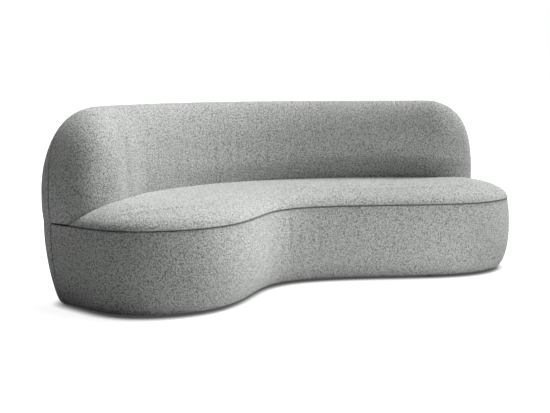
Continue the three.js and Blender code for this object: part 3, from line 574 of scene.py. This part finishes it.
def seam_distances(points, shares, first, last):
    """Distances from a side panel's points to its seams, and to its seams and hem."""
    run = column_run(points)
    to_end = np.minimum(shares - first, last - shares) * perimeter
    to_seam = np.minimum((run[-1] - run)[None, :], to_end[:, None])
    return to_seam, np.minimum(to_seam, (run - run[HEM_ROWS])[None, :])


def border_body():
    length = (RIGHT_SEAM - NOSE_SEAM + 1) * perimeter
    shares = NOSE_SEAM - 1 + seamed_steps(length) / perimeter
    column = shares[:, None]
    profile = side_profile(column, side_heights())
    skin = surface(column, profile)
    lining = surface(column, side_lining(column, profile[1]))
    distance, free = seam_distances(skin, shares, NOSE_SEAM - 1, RIGHT_SEAM)
    skin = swelled(skin, 1, free)
    skin = skin - grid_normals(skin, 1) * groove(distance)[..., None]
    faces = grid_faces(*skin.shape[:2])
    return closed_body("border_upholstery", skin, lining, faces, stitch_and_shade_at(distance))


def lower_climbs():
    """Climbs from the base's seam height up to the back's top seam."""
    first = climb_at(SEAM_HEIGHT) + SEAM_ROWS / OUTER_ROUNDING_HEIGHT
    last = top_seam_climb - SEAM_ROWS[::-1] / climb_metres
    return np.concatenate([first, np.linspace(first[-1], last[0], BACK_LOW_ROWS)[1:-1], last])


def upper_climbs():
    """Climbs from the back's top seam up to its top."""
    first = top_seam_climb + SEAM_ROWS / climb_metres
    return np.concatenate([first, np.linspace(first[-1], math.pi / 2, BACK_HIGH_ROWS)[1:]])


def outer_back_body():
    length = (NOSE_SEAM - RIGHT_SEAM) * perimeter
    shares = RIGHT_SEAM + seamed_steps(length) / perimeter
    column = shares[:, None]
    low_inset, low_z = side_profile(column, side_heights()[:-1])
    climbs = lower_climbs()[None, :]
    low_grid = np.broadcast_to(column, low_inset.shape)
    high_grid = leaned(column, climbs)
    high_inset, high_z = outer_profile(high_grid, climbs)
    inset = np.concatenate([low_inset, high_inset], axis=1)
    z = np.concatenate([low_z, high_z], axis=1)
    grid = np.concatenate([low_grid, high_grid], axis=1)
    plain = surface(grid, (inset, z))
    distance, free = seam_distances(plain, shares, RIGHT_SEAM, NOSE_SEAM)
    plain = swelled(plain, 1, free)
    normal = grid_normals(plain, 1)
    skin = plain - normal * groove(distance)[..., None]
    low_lining = surface(grid, side_lining(grid, np.minimum(z, SEAM_HEIGHT)))
    part = smooth((z - PAD_START) / PAD_REACH)[..., None]
    lining = mix(low_lining, plain - normal * PAD_DEPTH, part)
    faces = grid_faces(*skin.shape[:2])
    return closed_body("outer_back_upholstery", skin, lining, faces, stitch_and_shade_at(distance))


# The inner back panel


def end_distances(length, radius, power):
    """Distances from a rounded end's tip to its seam, for even steps of its width."""
    last = float(rounded_rise(length / radius, power))
    widths = np.linspace(END_FIRST_WIDTH, last, END_ROWS)
    distances = radius * (1 - (1 - widths ** power) ** (1 / power))
    before_seam = length - SEAM_GAP / 2 - np.concatenate([SEAM_STEPS[:-2][::-1], [0]])
    return np.concatenate([distances[distances < before_seam[0] - END_ROW_GAP], before_seam])


def end_shares(seam, tip, radius, power):
    """Shares from a rounded end's tip to its seam."""
    distances = end_distances(abs(seam - tip) * perimeter, radius, power)
    return tip + np.sign(seam - tip) * distances / perimeter


nose_end = end_shares(NOSE_SEAM, NOSE_TIP, NOSE_END_RADIUS, NOSE_POWER)[::-1]
right_end = end_shares(RIGHT_SEAM, RIGHT_TIP, RIGHT_END_RADIUS, RIGHT_POWER)


def outer_seam_distances(points, column, seam_column):
    """Distances to the top seam and, at the rounded ends, to the seams beside them."""
    run = run_lengths(points[len(points) // 2])
    rise = (run - (run[seam_column - 1] + run[seam_column]) / 2)[None, :]
    outside = np.maximum(RIGHT_SEAM - column, column - NOSE_SEAM) * perimeter
    past = np.maximum(outside, 0)
    beside = np.where(rise < 0, past, np.hypot(past, rise))
    return np.where(outside > 0, beside, np.abs(rise))


def inner_back_body():
    rear = RIGHT_SEAM + seamed_steps((NOSE_SEAM - RIGHT_SEAM) * perimeter)[1:-1] / perimeter
    shares = np.concatenate([right_end, rear, nose_end])
    column = shares[:, None]
    low, high = lower_climbs(), upper_climbs()
    climbs = np.concatenate([low, high])[None, :]
    angles = np.linspace(0, math.pi / 2, BACK_ARCH_ROWS)[None, 1:]
    face_top, face_foot = HEIGHT - INNER_ROUNDING_HEIGHT, SEAM_HEIGHT + FACE_GAP
    face_z = np.linspace(face_top, face_foot, BACK_FACE_ROWS)[None, 1:]
    outer_grid = leaned(column, climbs)
    inner_grid = np.broadcast_to(column, (len(shares), angles.size + face_z.size))
    parts = [
        outer_profile(outer_grid, climbs),
        inner_profile(column, angles),
        face_profile(column, face_z),
    ]
    inset = np.concatenate([part[0] for part in parts], axis=1)
    z = np.concatenate([part[1] for part in parts], axis=1)
    plain = surface(np.concatenate([outer_grid, inner_grid], axis=1), (inset, z))
    is_outer = (np.arange(plain.shape[1]) < climbs.size)[None, :]
    distance = outer_seam_distances(plain, column, low.size)
    distance = np.minimum(distance, np.where(is_outer, z - SEAM_HEIGHT, FAR))
    first_rear = len(right_end) - 1
    last_rear = len(shares) - len(nose_end)
    row_run = column_run(plain.swapaxes(0, 1))
    free = np.minimum(distance, np.where(is_outer, FAR, z - CROWN_HEIGHT))
    free = np.minimum(free, np.minimum(row_run, row_run[-1] - row_run)[:, None])
    free[first_rear:last_rear + 1, :low.size] = 0
    plain = swelled(plain, 1, np.maximum(free, 0))
    normal = grid_normals(plain, 1)
    skin = plain - normal * groove(distance)[..., None]
    lining = plain - normal * PAD_DEPTH
    rows, columns = skin.shape[:2]
    faces = grid_faces(rows, columns)
    keep = np.ones(faces.shape[:2], bool)
    keep[first_rear:last_rear, :low.size] = False
    skin, lining, kept, renumber = drop_unused(
        skin.reshape(-1, 3), lining.reshape(-1, 3), faces[keep])
    stitch_and_shade = stitch_and_shade_at(distance).ravel()[renumber >= 0]
    start_cap = renumber[:columns].tolist()
    end_cap = renumber[-columns:][::-1].tolist()
    return closed_body("inner_back_upholstery", skin, lining, kept, stitch_and_shade, [start_cap, end_cap])


# The seat


def distances_to(points, line):
    """Distance in plan from each point to an open line."""
    start, along = line[:-1], np.diff(line, axis=0)
    squared = np.maximum((along ** 2).sum(1), TINY)
    found = []
    for chunk in np.array_split(points, max(len(points) // DISTANCE_CHUNK, 1)):
        offset = chunk[:, None, :] - start[None, :, :]
        part = np.clip((offset * along).sum(2) / squared, 0, 1)
        nearest = offset - part[..., None] * along
        found.append(np.sqrt((nearest ** 2).sum(2).min(1)))
    return np.concatenate(found)


def seam_points(shares):
    """Points in plan on the seam between the seat and the border."""
    return plan_points(shares, front_inset(SEAM_HEIGHT) + np.zeros_like(shares))


def foot_points(shares, side):
    """Points in plan at the foot of the back, on its inner side (1) or outer side (-1)."""
    inset = back_width(shares) if side > 0 else np.zeros_like(shares)
    return plan_points(shares, closed_in(shares, inset, np.full_like(shares, CROWN_HEIGHT))[0])


def foot_line():
    """The seat's rear edge along the foot of the back, from the nose to the right end."""
    rear = np.linspace(RIGHT_SEAM, NOSE_SEAM, FOOT_COUNT)[1:-1]
    return np.concatenate([
        seam_points(np.array([NOSE_CONTACT])),
        foot_points(nose_end[nose_end > NOSE_CONTACT + 1], -1),
        foot_points(np.concatenate([right_end, rear, nose_end]), 1)[::-1],
        foot_points(right_end[right_end < RIGHT_CONTACT], -1),
        seam_points(np.array([RIGHT_CONTACT])),
    ])


def moved_right(line, distance):
    """A line moved sideways, to the right of the way it runs."""
    along = np.gradient(line, axis=0)
    along /= np.linalg.norm(along, axis=1)[:, None]
    return line + distance * np.stack([along[:, 1], -along[:, 0]], axis=1)


def seat_body():
    edge = moved_right(foot_line(), JUNCTION_GAP)
    places = np.linspace(SEAT_MARGIN, 1 - SEAT_MARGIN, SEAT_LINES)
    start = seam_points(mix(NOSE_CONTACT, RIGHT_CONTACT, places))
    end = resampled(edge, places * run_lengths(edge)[-1])
    length = np.linalg.norm(end - start, axis=1)[:, None]
    even = (np.linspace(0, 1, SEAT_ROWS) ** 2)[None, :]
    scale = np.minimum(length / SHORT_LINE, 1)
    reach = np.concatenate([even * (length - SEAT_END_REACH * scale),
                            length - SEAT_END_STEPS[None, :] * scale], axis=1)
    plan = mix(start[:, None, :], end[:, None, :], (reach / length)[..., None])
    flat = plan.reshape(-1, 2)
    seam = seam_points(np.linspace(0, 1, SEAT_SEAM_COUNT))
    to_seam = distances_to(flat, seam).reshape(reach.shape)
    to_foot = distances_to(flat, edge).reshape(reach.shape)
    lowest = SEAM_HEIGHT + SEAM_GAP
    z = mix(lowest, CROWN_HEIGHT, rounded_rise(to_seam / SEAT_ROUNDING, 2))
    above_seam = z - lowest + SEAM_GAP / 2
    plain = np.concatenate([plan, z[..., None]], axis=2)
    plain = swelled(plain, -1, np.minimum(to_seam, to_foot))
    skin = plain - grid_normals(plain, -1) * groove(above_seam)[..., None]
    junction = groove(to_foot, JUNCTION_ROLL, JUNCTION_DEPTH)
    skin[..., 2] = np.maximum(skin[..., 2] - junction, lowest)
    lining = skin.copy()
    part = smooth((to_seam - UNDERSIDE_START) / UNDERSIDE_REACH)
    lining[..., 2] = mix(SEAM_HEIGHT + SEAM_GAP / 2, SEAT_UNDERSIDE, part)
    faces = grid_faces(*skin.shape[:2])[..., ::-1]
    # Dark line at the seam and where the seat meets the back: stitches at the seam, painted shade
    # in both creases
    stitch_and_shade = stitch_and_shade_at(np.minimum(above_seam, to_foot))
    return closed_body("seat_upholstery", skin, lining, faces, stitch_and_shade)


# Materials

YARN_PALE = (0.92, 0.94, 0.915, 1)
YARN_GREY = (0.88, 0.90, 0.875, 1)
# Colour at the low points of the yarn's relief: darker fibres and painted shade in the hollows
YARN_HOLLOW_SHADE = (0.30, 0.315, 0.30, 1)
# Colour of stitches and painted shade in seam and junction creases
STITCH_AND_SHADE_COLOUR = (0.08, 0.085, 0.08, 1)
SWIRL_SCALE = 90.0
SWIRL_AMOUNT = 0.006
CURL_SCALE = 200.0
CURL_WEIGHT = -0.9
KNOT_SCALE = 240.0
KNOT_WEIGHT = 1.4
FIBRE_SCALE = 900.0
FIBRE_WEIGHT = 0.25
PATCH_SCALE = 5.0
# Heights of the relief over which the colour goes from painted hollow shade to the yarn's own
# colour
HOLLOW_SHADE_RANGE = (0.12, 0.52)
YARN_HEIGHT = 0.0035
NOISE_MIDDLE = (0.35, 0.65)
PORES_PER_STREAK = 9
SPECKLE_PER_PIT = 0.6
LINE_STRETCH = (1, 1, 8)
PLASTIC_DARK = (0.012, 0.012, 0.013, 1)
PLASTIC_SCUFFED = (0.03, 0.03, 0.032, 1)

# Name, light colour, dark colour, scale, bump distance
FIBROUS_GOODS = [
    ("foam", (0.83, 0.77, 0.60, 1), (0.62, 0.55, 0.40, 1), 700.0, 0.0008),
    ("felt", (0.22, 0.22, 0.23, 1), (0.10, 0.10, 0.11, 1), 500.0, 0.0006),
    ("lining", (0.030, 0.030, 0.032, 1), (0.012, 0.012, 0.013, 1), 900.0, 0.0003),
]
# Name, light colour, dark colour, scale, stretch, roughness
WOODS = [
    ("plywood", (0.62, 0.44, 0.25, 1), (0.46, 0.30, 0.15, 1), 26.0, (0.25, 1, 3), 0.7),
    ("softwood", (0.70, 0.52, 0.30, 1), (0.52, 0.34, 0.17, 1), 34.0, (0.3, 1, 0.3), 0.75),
    ("hardboard", (0.28, 0.17, 0.085, 1), (0.19, 0.11, 0.055, 1), 120.0, (1, 1, 1), 0.8),
]
# Name, light colour, dark colour, roughness
METALS = [
    ("spring_steel", (0.32, 0.33, 0.35, 1), (0.22, 0.23, 0.25, 1), 0.38),
    ("zinc_steel", (0.55, 0.57, 0.58, 1), (0.42, 0.44, 0.46, 1), 0.3),
]


class Shader:
    """The nodes of a material or of the world, built up one at a time."""

    def __init__(self, owner):
        owner.use_nodes = True
        self.owner = owner
        self.tree = owner.node_tree
        self.tree.nodes.clear()

    def node(self, kind, inputs=None, **settings):
        made = self.tree.nodes.new(kind)
        for key, value in settings.items():
            setattr(made, key, value)
        for key, value in (inputs or {}).items():
            if isinstance(value, bpy.types.NodeSocket):
                self.tree.links.new(value, made.inputs[key])
            else:
                made.inputs[key].default_value = value
        return made

    def object_place(self):
        return self.node("ShaderNodeTexCoord").outputs["Object"]

    def stretched_place(self, stretch):
        inputs = {"Vector": self.object_place(), "Scale": stretch}
        return self.node("ShaderNodeMapping", inputs).outputs[0]

    def noise(self, place, scale, detail=2.0, roughness=0.5, output="Fac"):
        return self.node("ShaderNodeTexNoise", {
            "Vector": place, "Scale": scale, "Detail": detail, "Roughness": roughness,
        }).outputs[output]

    def cells(self, place, scale):
        inputs = {"Vector": place, "Scale": scale}
        return self.node("ShaderNodeTexVoronoi", inputs).outputs["Distance"]

    def math(self, operation, first, second):
        return self.node("ShaderNodeMath", {0: first, 1: second}, operation=operation).outputs[0]

    def weighted(self, *terms):
        """The sum of values, each times its weight."""
        total, *others = [self.math("MULTIPLY", value, weight) for value, weight in terms]
        for other in others:
            total = self.math("ADD", total, other)
        return total

    def remap(self, value, low, high, new_low=0.0, new_high=1.0):
        return self.node("ShaderNodeMapRange", {
            "Value": value, "From Min": low, "From Max": high,
            "To Min": new_low, "To Max": new_high,
        }).outputs["Result"]

    def blend(self, amount, first, second):
        inputs = {0: amount, 6: first, 7: second}
        return self.node("ShaderNodeMix", inputs, data_type="RGBA").outputs[2]

    def bump(self, height, strength, distance):
        return self.node("ShaderNodeBump", {
            "Height": height, "Strength": strength, "Distance": distance,
        }).outputs["Normal"]

    def finish(self, **inputs):
        surface_node = self.node("ShaderNodeBsdfPrincipled", inputs)
        self.node("ShaderNodeOutputMaterial", {"Surface": surface_node.outputs[0]})
        return self.owner


def new_shader(name):
    return Shader(bpy.data.materials.new(name))


def boucle():
    """Looped yarn: packed curls about 5 mm across, with light and dark fibres, and painted shade
    in the hollows between curls.
    """
    shader = new_shader("boucle")
    place = shader.object_place()
    swirl = shader.noise(place, SWIRL_SCALE, output="Color")
    moved = shader.node("ShaderNodeMix", {0: SWIRL_AMOUNT, 4: place, 5: swirl}, data_type="VECTOR")
    curls = shader.cells(moved.outputs[1], CURL_SCALE)
    knots = shader.noise(place, KNOT_SCALE, detail=3.0, roughness=0.6)
    fibre = shader.noise(place, FIBRE_SCALE, roughness=0.6)
    height = shader.weighted((curls, CURL_WEIGHT), (knots, KNOT_WEIGHT), (fibre, FIBRE_WEIGHT))
    patches = shader.noise(place, PATCH_SCALE, detail=3.0)
    light = shader.blend(shader.remap(patches, *NOISE_MIDDLE), YARN_GREY, YARN_PALE)
    # Darker where the relief is low: painted shade in the hollows between curls, with darker
    # fibres
    colour = shader.blend(shader.remap(height, *HOLLOW_SHADE_RANGE), YARN_HOLLOW_SHADE, light)
    # Dark line along seams and junctions: stitches and painted shade in the creases
    stitch_and_shade = shader.node("ShaderNodeAttribute", attribute_name="stitch_and_shade").outputs["Fac"]
    return shader.finish(**{
        "Base Color": shader.blend(stitch_and_shade, colour, STITCH_AND_SHADE_COLOUR),
        "Roughness": 0.95,
        "Specular IOR Level": 0.15,
        "Sheen Weight": 0.12,
        "Sheen Roughness": 0.6,
        "Normal": shader.bump(height, strength=1.0, distance=YARN_HEIGHT),
    })


def grained(name, light, dark, scale, stretch, roughness):
    """Bare wood: long streaks along one direction with fine pores."""
    shader = new_shader(name)
    place = shader.stretched_place(stretch)
    streaks = shader.noise(place, scale, detail=4.0, roughness=0.65)
    pores = shader.noise(place, scale * PORES_PER_STREAK)
    amount = shader.weighted((streaks, 0.75), (pores, 0.25))
    return shader.finish(**{
        "Base Color": shader.blend(shader.remap(amount, *NOISE_MIDDLE), dark, light),
        "Roughness": roughness,
        "Normal": shader.bump(amount, strength=0.25, distance=0.0006),
    })


def fibrous(name, light, dark, scale, bump_distance):
    """Felted or foamed goods: fine speckle with small pits."""
    shader = new_shader(name)
    place = shader.object_place()
    pits = shader.cells(place, scale)
    speckle = shader.noise(place, scale * SPECKLE_PER_PIT, detail=4.0, roughness=0.7)
    amount = shader.weighted((pits, 0.6), (speckle, 0.6))
    return shader.finish(**{
        "Base Color": shader.blend(shader.remap(amount, 0.3, 0.8), dark, light),
        "Roughness": 0.92,
        "Specular IOR Level": 0.2,
        "Normal": shader.bump(amount, strength=0.6, distance=bump_distance),
    })


def drawn_metal(name, light, dark, roughness):
    """Drawn wire and plated screws: fine lines and a little uneven gloss."""
    shader = new_shader(name)
    place = shader.stretched_place(LINE_STRETCH)
    lines = shader.noise(place, scale=420.0, detail=3.0, roughness=0.6)
    cloud = shader.noise(place, scale=30.0)
    return shader.finish(**{
        "Base Color": shader.blend(shader.remap(cloud, *NOISE_MIDDLE), dark, light),
        "Metallic": 1.0,
        "Roughness": shader.remap(lines, 0.3, 0.7, roughness - 0.08, roughness + 0.1),
        "Normal": shader.bump(lines, strength=0.15, distance=0.0002),
    })


def moulded_plastic():
    """Black plastic with a fine grain and a few paler scuffs."""
    shader = new_shader("black_plastic")
    place = shader.object_place()
    grain = shader.noise(place, scale=1400.0)
    scuffs = shader.noise(place, scale=60.0, detail=3.0)
    scuffed = shader.remap(scuffs, 0.5, 0.75)
    return shader.finish(**{
        "Base Color": shader.blend(scuffed, PLASTIC_DARK, PLASTIC_SCUFFED),
        "Roughness": shader.remap(scuffs, 0.3, 0.7, 0.42, 0.6),
        "Normal": shader.bump(grain, strength=0.3, distance=0.0002),
    })


def make_materials():
    made = {"boucle": boucle(), "black_plastic": moulded_plastic()}
    for build, rows in ((fibrous, FIBROUS_GOODS), (grained, WOODS), (drawn_metal, METALS)):
        made.update({row[0]: build(*row) for row in rows})
    return made


def paint(body, material):
    body.data.materials.clear()
    body.data.materials.append(material)


def dress(body, material, *nodes):
    paint(body, material)
    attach(body, "root")
    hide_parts(*nodes)


# Stage

WHITE = (1, 1, 1, 1)
CAMERA_PLACE = (-2.414, -4.324, 0.936)
CAMERA_DOWN = 6.955
CAMERA_HEADING = -28.5
CAMERA_SENSOR = 36
CAMERA_LENS = 72
FLOOR_REACH = 60
FLOOR_COLOUR = (0.45, 0.45, 0.45, 1)
FLOOR_CONTACT_REACH = 0.05
FLOOR_OPEN_RANGE = (0.20, 0.85)
FLOOR_GLOW_RANGE = (0.05, 0.92)
WORLD_STRENGTH = 0.02

# Name, azimuth, elevation, strength, spread
SUNS = [
    ("key_lamp", 93, 55, 1.95, 20),
    ("rear_lamp", 135, 45, 0.85, 50),
    ("side_lamp", 75, 48, 0.35, 50),
    ("top_lamp", 100, 76, 0.95, 20),
    ("front_lamp", 60, 12, 0.36, 30),
]


def add_camera():
    data = bpy.data.cameras.new("camera")
    data.sensor_fit = "HORIZONTAL"
    data.sensor_width = CAMERA_SENSOR
    data.lens = CAMERA_LENS
    camera = bpy.data.objects.new("camera", data)
    camera.location = CAMERA_PLACE
    camera.rotation_euler = (math.radians(90 - CAMERA_DOWN), 0, math.radians(CAMERA_HEADING))
    bpy.context.scene.collection.objects.link(camera)
    bpy.context.scene.camera = camera


def add_floor():
    """A floor that looks pale, with the sofa's shadow, and a darker line of contact painted by
    dimming its glow with ambient occlusion.
    """
    corners = [(-1, -1), (1, -1), (1, 1), (-1, 1)]
    mesh = bpy.data.meshes.new("floor")
    mesh.from_pydata([(x * FLOOR_REACH, y * FLOOR_REACH, 0) for x, y in corners],
                     [], [(0, 1, 2, 3)])
    floor = bpy.data.objects.new("floor", mesh)
    bpy.context.scene.collection.objects.link(floor)
    shader = new_shader("floor")
    lit = shader.node("ShaderNodeBsdfDiffuse", {"Color": FLOOR_COLOUR})
    path = shader.node("ShaderNodeLightPath").outputs
    seen = shader.math("MAXIMUM", path["Is Camera Ray"], path["Is Glossy Ray"])
    # Ambient occlusion dims the glow near the sofa: painted shade along the line of contact
    occlusion = shader.node("ShaderNodeAmbientOcclusion", {"Distance": FLOOR_CONTACT_REACH})
    pale = shader.remap(occlusion.outputs["AO"], *FLOOR_OPEN_RANGE, *FLOOR_GLOW_RANGE)
    strength = shader.math("MULTIPLY", seen, pale)
    glow = shader.node("ShaderNodeEmission", {"Color": WHITE, "Strength": strength})
    both = shader.node("ShaderNodeAddShader", {0: lit.outputs[0], 1: glow.outputs[0]})
    shader.node("ShaderNodeOutputMaterial", {"Surface": both.outputs[0]})
    floor.data.materials.append(shader.owner)


def add_world():
    """A faint room light behind a white that the camera sees."""
    world = bpy.data.worlds.new("world")
    bpy.context.scene.world = world
    shader = Shader(world)
    path = shader.node("ShaderNodeLightPath").outputs
    seen = shader.math("MAXIMUM", path["Is Camera Ray"], path["Is Transmission Ray"])
    room = shader.node("ShaderNodeBackground", {"Color": WHITE, "Strength": WORLD_STRENGTH})
    backdrop = shader.node("ShaderNodeBackground", {"Color": WHITE, "Strength": 1.0})
    choice = shader.node("ShaderNodeMixShader", {
        0: seen, 1: room.outputs[0], 2: backdrop.outputs[0],
    })
    shader.node("ShaderNodeOutputWorld", {"Surface": choice.outputs[0]})


def add_sun(name, azimuth, elevation, strength, spread):
    """A soft lamp. Azimuth 0 is in front of the sofa, 90 at its right end."""
    data = bpy.data.lights.new(name, "SUN")
    data.energy = strength
    data.angle = math.radians(spread)
    lamp = bpy.data.objects.new(name, data)
    lamp.rotation_euler = (math.radians(90 - elevation), 0, math.radians(azimuth))
    bpy.context.scene.collection.objects.link(lamp)


def add_panel(name, place, target, size, power):
    """A rectangular lamp that faces the target and doesn't show itself."""
    data = bpy.data.lights.new(name, "AREA")
    data.shape = "RECTANGLE"
    data.size, data.size_y = size
    data.energy = power
    lamp = bpy.data.objects.new(name, data)
    lamp.location = place
    lamp.rotation_euler = (Vector(target) - Vector(place)).to_track_quat("-Z", "Y").to_euler()
    lamp.visible_camera = False
    bpy.context.scene.collection.objects.link(lamp)


add_camera()
materials = make_materials()
slots = {row["node"]: row["material_slot"] for row in frame["record"]["subparts"]}
for name, node in frame["nodes"].items():
    paint(node, materials[slots[name]])

dress(seat_body(), materials["boucle"], "seat_cover", "seat_foam", "seat_base_foam")
dress(border_body(), materials["boucle"], "border_cover", "border_foam")
dress(inner_back_body(), materials["boucle"], "inner_back_cover", "back_arch_foam_left",
      "back_arch_foam_right", "nose_foam_block", "right_foam_block")
dress(outer_back_body(), materials["boucle"], "outer_back_cover", "outer_back_foam")

add_floor()
add_world()
for lamp in SUNS:
    add_sun(*lamp)
add_panel("floor_lamp", place=(0.35, -1.2, 0.06), target=(0.2, -0.2, 0.16),
          size=(0.8, 0.10), power=3.6)
